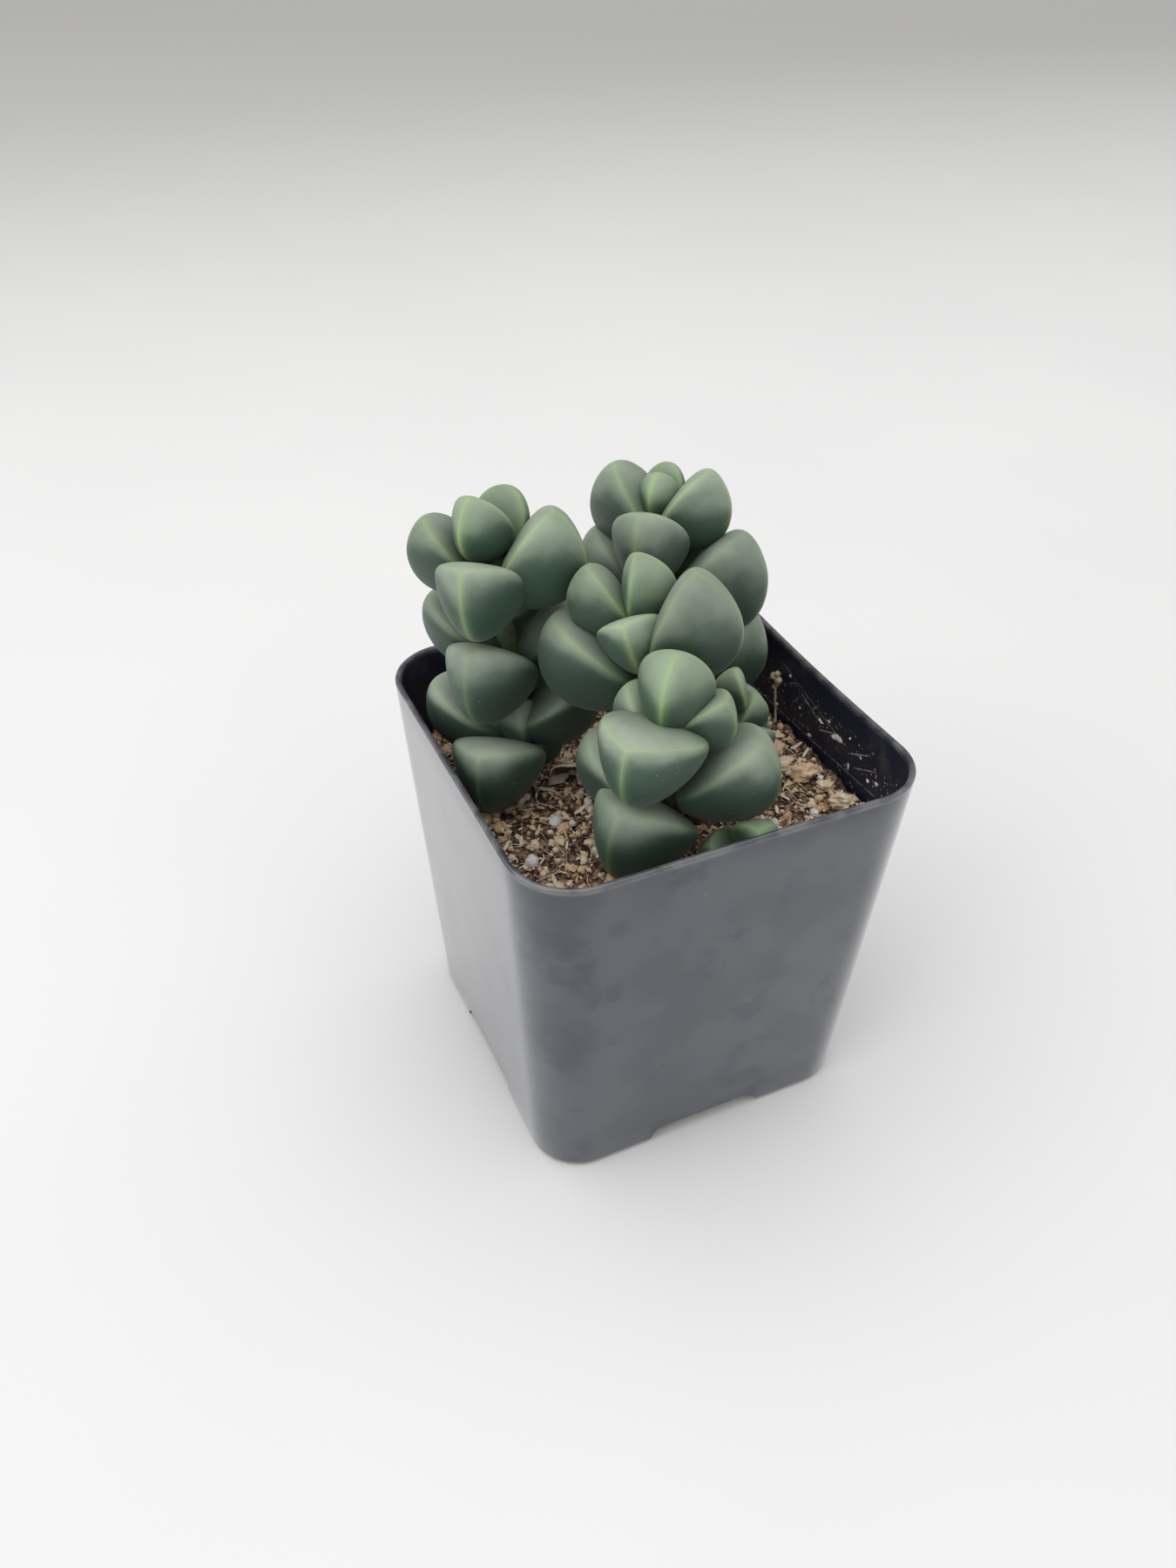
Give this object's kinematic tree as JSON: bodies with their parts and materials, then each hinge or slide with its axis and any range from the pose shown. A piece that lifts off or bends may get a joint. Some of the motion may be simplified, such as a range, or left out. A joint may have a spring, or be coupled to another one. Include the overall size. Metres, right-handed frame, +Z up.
{
  "type": "potted succulent plant",
  "caption": "Potted succulent with plump keeled leaves stacked in opposite pairs on short stems, rooted in soil in a tapered square nursery pot.",
  "frame": {"origin": "middle of the pot's footprint, on the surface it stands on", "axes": "+Z up; +X and +Y square to the pot's sides; -Y is the side seen face on in the picture, and -X the bright side on its left"},
  "size_m": [0.0638, 0.064, 0.1009],
  "materials": {
    "slate_plastic": "satin",
    "coir_soil": "matte",
    "glaucous_leaf": "satin",
    "dry_leaf_skin": "matte"
  },
  "bodies": {
    "root": {"nursery_pot": "slate_plastic", "potting_soil": "coir_soil", "shoot_back_left": "glaucous_leaf", "shoot_back_right": "glaucous_leaf", "shoot_middle": "glaucous_leaf", "shoot_front": "glaucous_leaf", "shoot_small_right": "glaucous_leaf", "shoot_small_front": "glaucous_leaf", "dry_leaf": "dry_leaf_skin", "dried_sprig": "dry_leaf_skin"}
  },
  "joints": []
}
